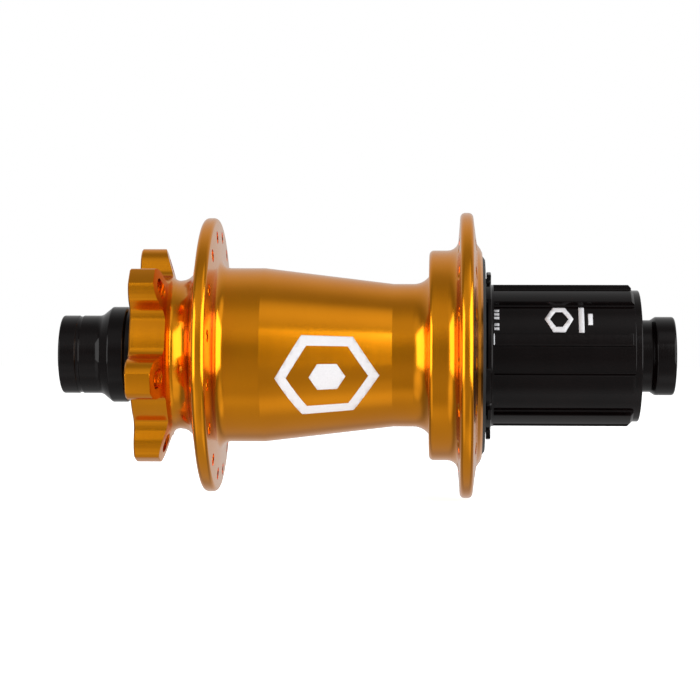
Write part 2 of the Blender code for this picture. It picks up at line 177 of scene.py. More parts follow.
# Camera: its place, then its turn and roll in degrees
CAMERA_PLACE = (19.49, -524.3, 1.24)
CAMERA_TURN = 2.58
CAMERA_ROLL = 0.18
CAMERA_LENS = 111.1

# Studio light. A patch is its azimuth, its elevation, its inner and outer radius in degrees, and how much
# it adds to the even light all round.
EVEN_LIGHT = 0.235
PATCHES = (
    (180, 20, 25, 80, 0.38),
    (0, -95, 25, 45, 0.24),
    (0, 58, 10, 42, 0.08),
    (0, -35, 5, 30, -0.04),
    (-42, -42, 10, 32, 0.55),
    (50, -55, 10, 32, 0.40),
    (41, 53, 5, 27, 0.60),
    (22, -28, 5, 30, 0.22),
    (-28, 35, 5, 34, 0.28),
    (-32, -18, 5, 36, 0.28),
)


# ---------------------------------------------------------------- outlines


def arc(centre, radius, start, end, steps):
    """Points along an arc, both ends included."""
    angles = [start + (end - start) * i / steps for i in range(steps + 1)]
    return [(centre[0] + radius * math.cos(a), centre[1] + radius * math.sin(a)) for a in angles]


def around(radius, angle):
    """The (y, z) place at a radius and an angle about the axle."""
    return radius * math.cos(angle), radius * math.sin(angle)


def rounded(corners, steps=FILLET_STEPS):
    """A closed outline from corners (a, b, fillet radius). A corner with no third value stays sharp."""
    points = []
    for i, corner in enumerate(corners):
        here = Vector(corner[:2])
        if len(corner) < 3:
            points.append(tuple(here))
            continue
        back = (Vector(corners[i - 1][:2]) - here).normalized()
        onward = (Vector(corners[(i + 1) % len(corners)][:2]) - here).normalized()
        half = back.angle(onward) / 2
        centre = here + (back + onward).normalized() * corner[2] / math.sin(half)
        first = here + back * corner[2] / math.tan(half) - centre
        last = here + onward * corner[2] / math.tan(half) - centre
        start = math.atan2(first.y, first.x)
        sweep = (math.atan2(last.y, last.x) - start + math.pi) % (2 * math.pi) - math.pi
        points += arc(centre, corner[2], start, start + sweep, steps)
    return points


# ---------------------------------------------------------------- meshes


def new_object(name, data):
    """An object of the scene that shows a mesh, a light or a camera."""
    made = bpy.data.objects.new(name, data)
    bpy.context.scene.collection.objects.link(made)
    return made


def built(name, work):
    """An object with the mesh that has been worked on."""
    mesh = bpy.data.meshes.new(name)
    work.to_mesh(mesh)
    work.free()
    return new_object(name, mesh)


def solid(name, vertices, faces):
    """An object from points in millimetres, with its faces turned outwards."""
    mesh = bpy.data.meshes.new(name)
    mesh.from_pydata([tuple(c * MM for c in v) for v in vertices], [], faces)
    work = bmesh.new()
    work.from_mesh(mesh)
    bmesh.ops.recalc_face_normals(work, faces=work.faces)
    work.to_mesh(mesh)
    work.free()
    return new_object(name, mesh)


def turned(name, outline, sides=SMALL_SIDES):
    """A ring about the axle, turned from a closed outline of (x, radius)."""
    vertices, faces, count = [], [], len(outline)
    for i in range(sides):
        vertices += [(x, *around(r, 2 * math.pi * i / sides)) for x, r in outline]
        here, there = i * count, (i + 1) % sides * count
        for j in range(count):
            k = (j + 1) % count
            faces.append((here + j, here + k, there + k, there + j))
    return solid(name, vertices, faces)


def lofted(name, sections):
    """A solid through sections (x, closed outline of (y, z)), each with as many points."""
    count = len(sections[0][1])
    vertices = [(x, y, z) for x, outline in sections for y, z in outline]
    faces = [tuple(range(count)), tuple(range(len(vertices) - count, len(vertices)))]
    for start in range(0, len(vertices) - count, count):
        for j in range(count):
            k = (j + 1) % count
            faces.append((start + j, start + k, start + count + k, start + count + j))
    return solid(name, vertices, faces)


def drill(name, profile, place, sides=32):
    """A round tool with a profile of (x, radius), its line at the (y, z) place."""
    sections = []
    for x, r in profile:
        sections.append((x, arc(place, r, 0, 2 * math.pi, sides)[:-1]))
    return lofted(name, sections)


def joined(name, pieces):
    """One object from several that don't touch."""
    work = bmesh.new()
    for piece in pieces:
        work.from_mesh(piece.data)
        bpy.data.objects.remove(piece)
    return built(name, work)


def baked(piece):
    """Puts what the piece's modifiers make into its mesh."""
    bpy.context.view_layer.update()
    shown = piece.evaluated_get(bpy.context.evaluated_depsgraph_get())
    mesh = bpy.data.meshes.new_from_object(shown)
    piece.modifiers.clear()
    piece.data = mesh
    return piece


def cut(piece, *tools):
    """Takes the tools' shapes out of a piece, and removes the tools."""
    for tool in tools:
        step = piece.modifiers.new(tool.name, "BOOLEAN")
        step.operation = "DIFFERENCE"
        step.object = tool
    baked(piece)
    for tool in tools:
        bpy.data.objects.remove(tool)
    return piece


def softened(piece, width, segments=2, angle=40):
    """Rounds the sharp edges of a piece made of a few clean faces, over a width in millimetres."""
    bevel = piece.modifiers.new("edges", "BEVEL")
    bevel.width = width * MM
    bevel.segments = segments
    bevel.limit_method = "ANGLE"
    bevel.angle_limit = math.radians(angle)
    return baked(piece)


def smooth(piece, angle=28):
    """Smooth shading that keeps flats flat and edges crisp."""
    piece.data.shade_smooth()
    piece.data.set_sharp_from_angle(angle=math.radians(angle))
    weigh = piece.modifiers.new("weighted_normals", "WEIGHTED_NORMAL")
    weigh.weight = 90
    weigh.keep_sharp = True
    return baked(piece)


def stands_for(piece, node, finish):
    """The finished piece takes the place of a CAD node, on that node's body."""
    smooth(piece)
    piece.data.materials.clear()
    piece.data.materials.append(finish)
    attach(piece, BODY_OF[node])
    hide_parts(node)
    return piece


# ---------------------------------------------------------------- materials


def material(name, **settings):
    """A new material, with values set on its shader's own sockets."""
    made = bpy.data.materials.new(name)
    made.use_nodes = True
    shader = made.node_tree.nodes["Principled BSDF"]
    for socket, value in settings.items():
        shader.inputs[socket.replace("_", " ")].default_value = value
    return made


def node(made, kind, inputs=(), **properties):
    """A new node. inputs are (socket, value or the output that feeds it)."""
    new = made.node_tree.nodes.new("ShaderNode" + kind)
    for key, value in properties.items():
        setattr(new, key, value)
    for socket, value in inputs:
        if isinstance(value, bpy.types.NodeSocket):
            made.node_tree.links.new(value, new.inputs[socket])
        else:
            new.inputs[socket].default_value = value
    return new


def feed(made, socket, output):
    """Links an output to a socket of the material's shader."""
    made.node_tree.links.new(output, made.node_tree.nodes["Principled BSDF"].inputs[socket])


def along_and_out(made):
    """The place on a turned surface: its x, and its distance from the axle."""
    place = node(made, "TexCoord").outputs["Object"]
    parts = node(made, "SeparateXYZ", [(0, place)])
    across = node(made, "CombineXYZ", [("Y", parts.outputs["Y"]), ("Z", parts.outputs["Z"])])
    radius = node(made, "VectorMath", [(0, across.outputs[0])], operation="LENGTH")
    return node(made, "CombineXYZ", [("X", parts.outputs["X"]), ("Y", radius.outputs["Value"])]).outputs[0]


def grain(made, vector, size, detail=2.0, dimensions="3D"):
    """Noise with features of about that size, in millimetres."""
    inputs = [("Vector", vector), ("Scale", 1 / (size * MM)), ("Detail", detail)]
    return node(made, "TexNoise", inputs, noise_dimensions=dimensions).outputs["Fac"]


def spread(made, value, low, high, start=0.3, end=0.7):
    """A noise value carried into a range."""
    inputs = [("Value", value), ("From Min", start), ("From Max", end), ("To Min", low), ("To Max", high)]
    return node(made, "MapRange", inputs).outputs["Result"]


def toned(made, value, dark, light):
    """The colour wanders between two tones as the noise does."""
    inputs = [(0, spread(made, value, 0, 1)), (6, (*dark, 1)), (7, (*light, 1))]
    feed(made, "Base Color", node(made, "Mix", inputs, data_type="RGBA").outputs[2])


def bumped(made, height, depth, strength=1.0, under=None):
    """Relief of that depth in millimetres."""
    inputs = [("Height", height), ("Distance", depth * MM), ("Strength", strength)]
    if under:
        inputs.append(("Normal", under))
    return node(made, "Bump", inputs).outputs["Normal"]


def lathe_finish(made, roughness, fine, coarse, depth):
    """Turning marks: fine rings over broader bands, in the relief and in the gloss. Returns the bands."""
    place = along_and_out(made)
    rings = grain(made, place, fine, 3.0, "2D")
    bands = grain(made, place, coarse, 1.0, "2D")
    relief = bumped(made, rings, depth)
    steepness = 0.35
    relief = bumped(made, bands, depth * coarse / fine * steepness, under=relief)
    feed(made, "Normal", relief)
    feed(made, "Roughness", spread(made, rings, *roughness))
    return bands


def ring_tangent(made):
    """Gloss is drawn out across the turning marks."""
    around_axle = node(made, "Tangent", direction_type="RADIAL", axis="X")
    feed(made, "Tangent", around_axle.outputs[0])


def gold_anodised():
    """Turned aluminium with an orange gold anodised skin."""
    made = material(
        "gold_anodised",
        Metallic=1.0,
        Anisotropic=0.5,
        Anisotropic_Rotation=0.25,
        Coat_Weight=0.32,
        Coat_Roughness=0.16,
        Coat_IOR=1.38,
        Specular_Tint=(1.0, 0.97, 0.92, 1),
    )
    lathe_finish(made, (0.18, 0.23), 0.13, 1.6, 0.0004)
    ring_tangent(made)
    place = node(made, "TexCoord").outputs["Object"]
    toned(made, grain(made, place, 14.0, 3.0), (0.82, 0.277, 0.001), (0.88, 0.305, 0.002))
    return made


def black_anodised():
    """Turned aluminium with a glossy black skin."""
    made = material("black_anodised", IOR=1.31, Anisotropic=0.7, Anisotropic_Rotation=0.25)
    lathe_finish(made, (0.10, 0.15), 0.14, 1.3, 0.0005)
    ring_tangent(made)
    place = node(made, "TexCoord").outputs["Object"]
    toned(made, grain(made, place, 10.0, 3.0), (0.0014, 0.0006, 0.0006), (0.0024, 0.0012, 0.0012))
    return made


def turned_aluminium():
    """Bare aluminium, as it comes from the lathe."""
    made = material("turned_aluminium", Metallic=1.0, Anisotropic=0.4, Anisotropic_Rotation=0.25)
    bands = lathe_finish(made, (0.22, 0.34), 0.25, 1.5, 0.0015)
    ring_tangent(made)
    toned(made, bands, (0.70, 0.70, 0.71), (0.79, 0.79, 0.80))
    return made


def hardened_steel():
    """Ground bearing and spring steel."""
    made = material("hardened_steel", Metallic=1.0)
    bands = lathe_finish(made, (0.14, 0.24), 0.15, 0.9, 0.0006)
    toned(made, bands, (0.47, 0.47, 0.49), (0.56, 0.56, 0.57))
    return made


def black_rubber():
    """Moulded rubber with fine pores."""
    made = material("black_rubber", IOR=1.48)
    place = node(made, "TexCoord").outputs["Object"]
    pores = grain(made, place, 0.35, 4.0)
    feed(made, "Normal", bumped(made, pores, 0.004, 0.6))
    feed(made, "Roughness", spread(made, pores, 0.42, 0.6))
    toned(made, grain(made, place, 5.0), (0.007, 0.007, 0.007), (0.016, 0.015, 0.015))
    return made


def moulded_nylon():
    """Cream-coloured nylon."""
    made = material("moulded_nylon", IOR=1.5, Subsurface_Weight=0.1, Subsurface_Scale=0.0005)
    place = node(made, "TexCoord").outputs["Object"]
    clouds = grain(made, place, 1.2, 3.0)
    feed(made, "Normal", bumped(made, clouds, 0.004, 0.5))
    feed(made, "Roughness", spread(made, clouds, 0.4, 0.55))
    toned(made, clouds, (0.50, 0.46, 0.36), (0.62, 0.57, 0.46))
    return made


def white_print():
    """Print of an even pale grey, slightly rough."""
    made = material("white_print", IOR=1.45)
    place = node(made, "TexCoord").outputs["Object"]
    fine = grain(made, place, 0.3, 3.0)
    feed(made, "Normal", bumped(made, fine, 0.002, 0.5))
    feed(made, "Roughness", spread(made, fine, 0.38, 0.55))
    toned(made, fine, (0.56, 0.56, 0.58), (0.62, 0.62, 0.64))
    return made


# ---------------------------------------------------------------- hub shell


def lobe_outline(less=0.0):
    """The disc mount's six lobes, drawn in all round by an amount."""
    lobe_r, fillet, valley_r = LOBE_R - less, VALLEY_FILLET + less, VALLEY_R - less
    fillet_r, fillet_y = VALLEY_R + VALLEY_FILLET, LOBE_R + VALLEY_FILLET
    swing = math.asin(fillet_y / fillet_r)
    half = math.pi / LOBES
    side = arc((BOLT_CIRCLE_R, 0), lobe_r, 0, math.pi / 2, 24)
    side += arc((fillet_r * math.cos(swing), fillet_y), fillet, 1.5 * math.pi, math.pi + swing, 16)
    side += [around(valley_r, swing + (half - swing) * t / 4) for t in range(1, 5)]
    lobe = [(x, -y) for x, y in side[-2:0:-1]] + side
    points = []
    for i in range(LOBES):
        turn = LOBE_PHASE + 2 * half * i
        points += [around(math.hypot(x, y), turn + math.atan2(y, x)) for x, y in lobe]
    return points


def valley_tool(face_x):
    """What is milled away between the lobes, with a small chamfer at the disc's face."""
    beyond_r = 31.0
    edge = LOBE_EDGE
    sections = [(face_x - 1.0, edge), (face_x, edge), (face_x + edge, 0.0), (VALLEY_END_X, 0.0)]
    inner = [(x, lobe_outline(less)) for x, less in sections]
    count = len(inner[0][1])
    vertices, faces = [], []
    for x, outline in inner:
        vertices += [(x, y, z) for y, z in outline]
        vertices += [(x, *around(beyond_r, math.atan2(z, y))) for y, z in outline]
    for row in range(len(inner) - 1):
        low, high = 2 * count * row, 2 * count * (row + 1)
        for ring in (0, count):
            for j in range(count):
                k = (j + 1) % count
                faces.append((low + ring + j, low + ring + k, high + ring + k, high + ring + j))
    for end in (0, 2 * count * (len(inner) - 1)):
        for j in range(count):
            k = (j + 1) % count
            faces.append((end + j, end + k, end + count + k, end + count + j))
    return solid("valley_tool", vertices, faces)


def bolt_tools(face_x):
    """Six threaded holes for the disc's bolts, countersunk at the face."""
    root, crest, wide = BOLT_R, BOLT_R - THREAD_DEPTH, BOLT_R + BOLT_CHAMFER
    profile = [(face_x - 1.0, wide), (face_x, wide), (face_x + BOLT_CHAMFER, root)]
    x = face_x + BOLT_CHAMFER + 0.1
    while x < BOLT_END_X:
        profile += [(x + 0.35 * THREAD_PITCH, crest), (x + 0.5 * THREAD_PITCH, crest)]
        profile += [(x + 0.85 * THREAD_PITCH, root), (x + THREAD_PITCH, root)]
        x += THREAD_PITCH
    tools = []
    for i in range(LOBES):
        place = around(BOLT_CIRCLE_R, LOBE_PHASE + 2 * math.pi * i / LOBES)
        tools.append(drill(f"bolt_tool_{i}", profile, place, 40))
    return joined("bolt_tools", tools)


def spoke_tools(name, flange, phase):
    """Spoke holes, countersunk on both faces of a flange."""
    left, right, _ = flange
    wide = SPOKE_HOLE_R + SPOKE_SINK
    profile = [(left - 1.5, wide + SPOKE_CONE), (left + SPOKE_SINK - 0.1, SPOKE_HOLE_R)]
    profile += [(right - SPOKE_SINK, SPOKE_HOLE_R), (right, wide), (right + 1.0, wide)]
    tools = []
    for i in range(SPOKE_HOLES):
        place = around(SPOKE_CIRCLE_R, phase + 2 * math.pi * i / SPOKE_HOLES)
        tools.append(drill(f"{name}_{i}", profile, place))
    return joined(name, tools)


def room_for(bearing):
    """The x range of a bearing's seat."""
    start_x, _, width = BEARINGS[bearing][:3]
    return start_x - SEAT_GAP, start_x + width + SEAT_GAP


def shell_outside(face_x, end_x):
    """The corners of the shell's outside, from the disc's face to the mouth."""
    root_left_x, root_right_x, root_r = RIGHT_FLANGE_ROOT
    return [
        (face_x, LOBE_REACH_R, 0.35),
        (LOBE_END_X, LOBE_REACH_R, 0.3),
        (NECK_X[0], NECK_R, 2.0),
        (NECK_X[1], NECK_R, 4.05),
        (LEFT_FLANGE[0] - 0.35, LEFT_FLANGE_DISH_R, 3.0),
        (LEFT_FLANGE[0], LEFT_FLANGE[2], 1.15),
        (LEFT_FLANGE[1], LEFT_FLANGE[2], 1.05),
        (LEFT_FLANGE[1] + 0.9, BARREL_R, 2.4),
        (CONE_X[0], BARREL_R, 0.6),
        (CONE_X[1], WAIST_R, 0.6),
        *arc((WAIST_END_X, WAIST_R + WAIST_FILLET), WAIST_FILLET, -0.5 * math.pi, -0.2 * math.pi, 10),
        (DRUM_X, WAIST_R + 2.0),
        (DRUM_X, DRUM_R, 1.1),
        (root_left_x, DRUM_R, 2.6),
        (RIGHT_FLANGE[0], RIGHT_FLANGE[2], 1.15),
        (RIGHT_FLANGE[1], RIGHT_FLANGE[2], 1.15),
        (root_right_x, root_r, 1.2),
        (end_x - 0.5, BOSS_R, 0.8),
        (end_x, BOSS_R - 1.0, 0.1),
        (end_x, MOUTH_R, 0.08),
    ]


def shell_inside(face_x):
    """The corners of the shell's bores, from the mouth back to the disc's face."""
    bearing_r = BEARINGS["disc_side_bearing"][1] + SEAT_GAP
    shoulder_r = bearing_r - 1.55
    left_seat_x, right_seat_x = room_for("disc_side_bearing")[1], room_for("drive_side_bearing")[0]
    ring_low, ring_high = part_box("drive_ring")
    ring_left, ring_right = ring_low.x / MM - SEAT_GAP, ring_high.x / MM + SEAT_GAP
    ring_r = ring_high.z / MM + SEAT_GAP
    return [
        (ring_right, MOUTH_R),
        (ring_right, ring_r),
        (ring_left, ring_r),
        (ring_left, bearing_r),
        (right_seat_x, bearing_r),
        (right_seat_x, shoulder_r, 0.3),
        (HOLLOW_ENDS_X[1], shoulder_r, 2.0),
        (HOLLOW_X[1], HOLLOW_R, 4.0),
        (HOLLOW_X[0], HOLLOW_R, 2.0),
        (HOLLOW_ENDS_X[0], shoulder_r, 2.0),
        (left_seat_x, shoulder_r, 0.3),
        (left_seat_x, bearing_r),
        (face_x, bearing_r, 0.3),
    ]


def make_shell(finish):
    """The shell, turned first, then milled and drilled."""
    face_x, end_x = (corner.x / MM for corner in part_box("hub_shell"))
    outline = rounded(shell_outside(face_x, end_x) + shell_inside(face_x))
    shell = turned("hub_shell_fine", outline, LARGE_SIDES)
    cut(shell, valley_tool(face_x))
    cut(shell, bolt_tools(face_x))
    cut(shell, spoke_tools("left_spoke_tool", LEFT_FLANGE, SPOKE_PHASES[0]))
    cut(shell, spoke_tools("right_spoke_tool", RIGHT_FLANGE, SPOKE_PHASES[1]))
    return stands_for(shell, "hub_shell", finish)


# ---------------------------------------------------------------- end caps and axle


def disc_side_cap_outline(left):
    """The disc-side end cap: a grooved tip, a cone and a collar that the shell's dust seal runs on."""
    seat_x, bearing_x = left + CAP_SEAT, room_for("disc_side_bearing")[0]
    tip_r, groove_r, inner_r = CAP_TIP_R, CAP_TIP_R - 0.2, 8.9
    collar_x, collar_r, step = -58.2, 11.6, 0.5
    end_x = -54.0
    return rounded([
        (left, CAP_BORE_R, 0.35),
        (left, tip_r, 0.45),
        (left + 3.95, tip_r, 0.25),
        (left + 4.15, groove_r, 0.2),
        (left + 4.85, groove_r, 0.2),
        (left + 5.05, tip_r, 0.25),
        (left + 9.65, tip_r, 2.2),
        (left + 12.25, collar_r, 0.6),
        (collar_x, collar_r, 0.55),
        (collar_x + step, collar_r - step, 0.3),
        (end_x, collar_r - step, 0.15),
        (end_x, inner_r),
        (bearing_x, inner_r),
        (bearing_x, BORE_R),
        (seat_x, BORE_R),
        (seat_x, CAP_BORE_R),
    ])


def drive_side_cap_outline(right):
    """The drive-side end cap: a plain tip with a neck inboard of it."""
    seat_x, neck_r = right - CAP_SEAT, 8.68
    bearing_x = room_for("outer_body_bearing")[1]
    return rounded([
        (right, CAP_BORE_R, 0.35),
        (seat_x, CAP_BORE_R),
        (seat_x, BORE_R),
        (bearing_x, BORE_R),
        (bearing_x, neck_r, 0.15),
        (right - 5.75, neck_r, 0.9),
        (right - 4.55, CAP_TIP_R, 0.9),
        (right, CAP_TIP_R, 0.65),
    ])


def make_end_caps(finish):
    outlines = {
        "disc_side_end_cap": disc_side_cap_outline(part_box("disc_side_end_cap")[0].x / MM),
        "drive_side_end_cap": drive_side_cap_outline(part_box("drive_side_end_cap")[1].x / MM),
    }
    for name, outline in outlines.items():
        stands_for(turned(f"{name}_fine", outline), name, finish)


def o_ring_groove(x):
    """A groove in the axle for the O-ring under an end cap."""
    half, floor_r = 0.5, AXLE_R - 0.6
    return [(x - half, AXLE_R, 0.05), (x - half, floor_r), (x + half, floor_r), (x + half, AXLE_R, 0.05)]


def make_axle(finish, rubber):
    """The axle tube, with shoulders for the shell's bearings, and an O-ring near each end."""
    left, right = (corner.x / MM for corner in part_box("axle"))
    rings = {"disc_side": left + O_RING_INSET, "drive_side": right - O_RING_INSET}
    shoulders = room_for("disc_side_bearing")[1], room_for("drive_side_bearing")[0]
    outline = rounded([
        (left, AXLE_BORE_R, 0.15),
        (left, AXLE_R, 0.3),
        *o_ring_groove(rings["disc_side"]),
        (shoulders[0], AXLE_R),
        (shoulders[0], SHOULDER_R, 0.25),
        (shoulders[1], SHOULDER_R, 0.25),
        (shoulders[1], AXLE_R),
        *o_ring_groove(rings["drive_side"]),
        (right, AXLE_R, 0.3),
        (right, AXLE_BORE_R, 0.15),
    ])
    stands_for(turned("axle_fine", outline), "axle", finish)
    for side, x in rings.items():
        section = arc((x, AXLE_R - 0.2), 0.35, 0, 2 * math.pi, 20)[:-1]
        ring = turned(f"{side}_cap_o_ring_fine", section)
        stands_for(ring, f"{side}_cap_o_ring", rubber)


def make_spacers(finish):
    """Plain tubes that keep the inner races apart."""
    for name in ("ratchet_spacer", "cassette_body_spacer"):
        low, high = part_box(name)
        left, right, outer_r = low.x / MM, high.x / MM, high.z / MM
        corners = [(left, BORE_R, 0.1), (left, outer_r, 0.2), (right, outer_r, 0.2), (right, BORE_R, 0.1)]
        stands_for(turned(f"{name}_fine", rounded(corners)), name, finish)


# ---------------------------------------------------------------- bearings and seals


def race_outline(start_x, width, skin_r, lip_r, groove_r, ball_r):
    """A race: four rounded corners, and a round track for the balls between its two lips."""
    middle, sign = start_x + width / 2, 1 if groove_r > lip_r else -1
    track_r = ball_r + TRACK_GAP
    centre_r = groove_r - sign * track_r
    half = math.acos(abs(lip_r - centre_r) / track_r)
    track = arc((middle, centre_r), track_r, sign * (math.pi / 2 + half), sign * (math.pi / 2 - half), 14)
    end_x = start_x + width
    corners = [(start_x, skin_r, 0.25), (start_x, lip_r, 0.08), *track]
    return rounded(corners + [(end_x, lip_r, 0.08), (end_x, skin_r, 0.25)], 4)


def cage_ring(name, middle, pitch_r, ball_r):
    """The moulded ring that holds the balls."""
    half_x, half_r, edge = 0.7 * ball_r, 0.3 * ball_r, 0.12
    return turned(name, rounded([
        (middle - half_x, pitch_r - half_r, edge),
        (middle - half_x, pitch_r + half_r, edge),
        (middle + half_x, pitch_r + half_r, edge),
        (middle + half_x, pitch_r - half_r, edge),
    ]))


def ring_of_balls(name, middle, pitch_r, ball_r, balls, steel):
    """The balls of a bearing, as one object."""
    work = bmesh.new()
    for i in range(balls):
        place = around(pitch_r * MM, 2 * math.pi * i / balls)
        move = Matrix.Translation((middle * MM, *place))
        bmesh.ops.create_uvsphere(work, u_segments=28, v_segments=18, radius=ball_r * MM, matrix=move)
    spheres = built(name, work)
    spheres.data.materials.append(steel)
    spheres.data.shade_smooth()
    return spheres


def make_bearing(name, steel, rubber, nylon):
    """A cartridge bearing: two races, a cage of balls, and a seal on each side."""
    start_x, outer_r, width, ball_r, balls = BEARINGS[name]
    middle, pitch_r = start_x + width / 2, (BORE_R + outer_r) / 2
    for race, skin_r, sign in (("inner", BORE_R, -1), ("outer", outer_r, 1)):
        groove_r = pitch_r + sign * (ball_r + TRACK_GAP)
        outline = race_outline(start_x, width, skin_r, groove_r - sign * 0.25, groove_r, ball_r)
        piece = turned(f"{name}_{race}_race_fine", outline)
        stands_for(piece, f"{name}_{race}_race", steel)
    cage = cage_ring(f"{name}_cage_fine", middle, pitch_r, ball_r)
    spheres = ring_of_balls(f"{name}_cage_fine_balls", middle, pitch_r, ball_r, balls, steel)
    stands_for(cage, f"{name}_ball_cage", nylon)
    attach(spheres, BODY_OF[f"{name}_ball_cage"])
    for side in ("disc", "drive"):
        seal = f"{name}_seal_{side}_side"
        outline = seal_outline(*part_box(seal), side, 2 * ball_r - SEAT_GAP)
        stands_for(turned(f"{seal}_fine", outline), seal, rubber)


def seal_outline(low, high, side, band):
    """A thin rubber disc, a band wide, with a step on its outer face."""
    left, right, outer_r = low.x / MM, high.x / MM, high.z / MM
    inner_r = outer_r - band
    step_r = (inner_r + outer_r) / 2
    inside, outside = (right, left) if side == "disc" else (left, right)
    dip = outside + (0.14 if side == "disc" else -0.14)
    return rounded([
        (inside, inner_r, 0.05),
        (outside, inner_r, 0.12),
        (outside, step_r - 0.35, 0.06),
        (dip, step_r - 0.15, 0.06),
        (dip, step_r + 0.25, 0.06),
        (outside, step_r + 0.45, 0.06),
        (outside, outer_r, 0.12),
        (inside, outer_r, 0.05),
    ], 3)


def dust_seal_outline(low, high):
    """The dust seal: a ring in the shell with a lip towards the disc-side end cap."""
    left, right, outer_r, lip_r = low.x / MM, high.x / MM, high.z / MM, 11.35
    return rounded([
        (left, lip_r + 0.5, 0.1),
        (left + 0.7, lip_r, 0.06),
        (right, lip_r + 0.1, 0.1),
        (right, outer_r, 0.15),
        (left, outer_r, 0.25),
    ], 4)


def lip_seal_outline(low, high):
    """The lip seal: a collar that closes the shell's mouth, with a dip before its lip."""
    left, right, outer_r, lip_r = low.x / MM, high.x / MM, high.z / MM, 18.8
    collar_x, dip_x, dip_r, dip_width = 27.7, right - 0.5, 19.5, 1.6
    return rounded([
        (left, lip_r, 0.2),
        (left, outer_r, 0.1),
        (collar_x, outer_r, 0.3),
        (right, outer_r - 1.15, 0.25),
        (right, dip_r + dip_width + 0.5, 0.25),
        (dip_x, dip_r + dip_width, 0.2),
        (dip_x, dip_r, 0.3),
        (right - 0.1, lip_r, 0.15),
    ], 4)


def make_shell_seals(rubber):
    outlines = {"disc_side_dust_seal": dust_seal_outline, "drive_side_lip_seal": lip_seal_outline}
    for name, outline in outlines.items():
        stands_for(turned(f"{name}_fine", outline(*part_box(name))), name, rubber)


# ---------------------------------------------------------------- ratchet


def pawl_plane(angle, points, folded=0.0):
    """Places points (along the drive sense, outwards) about a pawl's pivot, folded in by a turn."""
    placed = []
    for along, out in points:
        t = along * math.cos(folded) + out * math.sin(folded)
        n = out * math.cos(folded) - along * math.sin(folded) + PAWL_PIVOT_R
        placed.append(around(math.hypot(t, n), angle - math.atan2(t, n)))
    return placed


def tooth_spaces(left, right):
    """The spaces between the drive ring's teeth: a steep face for the pawl, and a long slope."""
    depth = RING_ROOT_R - RING_TIP_R
    below = 0.4
    nose = math.atan2(PAWL_TIP[0], PAWL_PIVOT_R + PAWL_TIP[1])
    pitch = 2 * math.pi / RING_TEETH
    spaces = []
    for i in range(RING_TEETH):
        root = nose + pitch * i
        tip = root + RING_LEAN
        outline = [
            around(RING_ROOT_R, -root),
            around(RING_ROOT_R, 0.06 * pitch - root),
            around(RING_TIP_R, 0.97 * pitch - tip),
            around(RING_TIP_R - below, 0.98 * pitch - tip),
            around(RING_TIP_R - below, -root - RING_LEAN * (depth + below) / depth),
        ]
        spaces.append(lofted(f"space_{i}", [(left - 1, outline), (right + 1, outline)]))
    return joined("tooth_tool", spaces)


def make_drive_ring(finish):
    low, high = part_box("drive_ring")
    left, right, outer_r = low.x / MM, high.x / MM, high.z / MM
    outline = rounded([
        (left, RING_TIP_R, 0.25),
        (left, outer_r, 0.3),
        (right, outer_r, 0.3),
        (right, RING_TIP_R, 0.25),
    ])
    ring = turned("drive_ring_fine", outline, LARGE_SIDES)
    cut(ring, tooth_spaces(left, right))
    stands_for(ring, "drive_ring", finish)


def pawl_outline():
    """A pawl: a round back on its pivot, and an arm that ends in a square nose."""
    lean = math.atan2(PAWL_TIP[0], PAWL_PIVOT_R + PAWL_TIP[1])
    thickness = 1.9
    chin = (PAWL_TIP[0] - thickness * math.sin(lean), PAWL_TIP[1] - thickness * math.cos(lean))
    return arc((0, 0), 1.7, math.radians(100), math.radians(290), 24) + [chin, PAWL_TIP]


def make_pawls(steel):
    """Six pawls, folded in, and a leaf spring under each."""
    leaf = [(1.3, -1.9), (2.6, -1.9), (5.2, -0.95), (5.2, -0.62), (2.5, -1.55), (1.3, -1.6)]
    kinds = {"pawl": (pawl_outline(), PAWL_THROW, 0.15), "pawl_spring": (leaf, 0.0, 0.05)}
    for i in range(PAWLS):
        angle = 2 * math.pi * i / PAWLS
        for kind, (points, fold, edge) in kinds.items():
            name = f"{kind}_{i + 1}"
            low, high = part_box(name)
            outline = pawl_plane(angle, points, fold)
            piece = lofted(f"{name}_fine", [(low.x / MM, outline), (high.x / MM, outline)])
            softened(piece, edge)
            stands_for(piece, name, steel)


# ---------------------------------------------------------------- cassette body


def spline_space_outline(start, end):
    """The space between two splines, with fillets at its floor and broken edges at its top."""
    edge, flare = 0.15, math.radians(0.6)
    crest = 2 * edge / SPLINE_R
    floor = [(*around(SPLINE_ROOT_R, start), 0.35)]
    floor += [around(SPLINE_ROOT_R, start + (end - start) * t / 10) for t in range(1, 10)]
    floor += [(*around(SPLINE_ROOT_R, end), 0.35)]
    return rounded(floor + [
        around(SPLINE_R - edge, end + flare),
        around(SPLINE_R + edge, end + flare + crest),
        around(SPLINE_R + 3, end + 0.02),
        around(SPLINE_R + 3.6, (start + end) / 2),
        around(SPLINE_R + 3, start - 0.02),
        around(SPLINE_R + edge, start - flare - crest),
        around(SPLINE_R - edge, start - flare),
    ], 4)


def spline_space_tools():
    """The nine spaces between the splines, from the stop flange to the open end."""
    pitch = 2 * math.pi / SPLINES
    ends = (STOP_FLANGE[1] + 0.6, BODY_END[0] + 1)
    tools = []
    for i in range(SPLINES):
        start = SPLINE_EDGE + pitch * i
        following = NARROW_SPLINE_WIDTH if i + 1 == SPLINES else SPLINE_WIDTH
        outline = spline_space_outline(start, start + pitch - following)
        tools.append(lofted(f"space_tool_{i}", [(x, outline) for x in ends]))
    return joined("space_tools", tools)


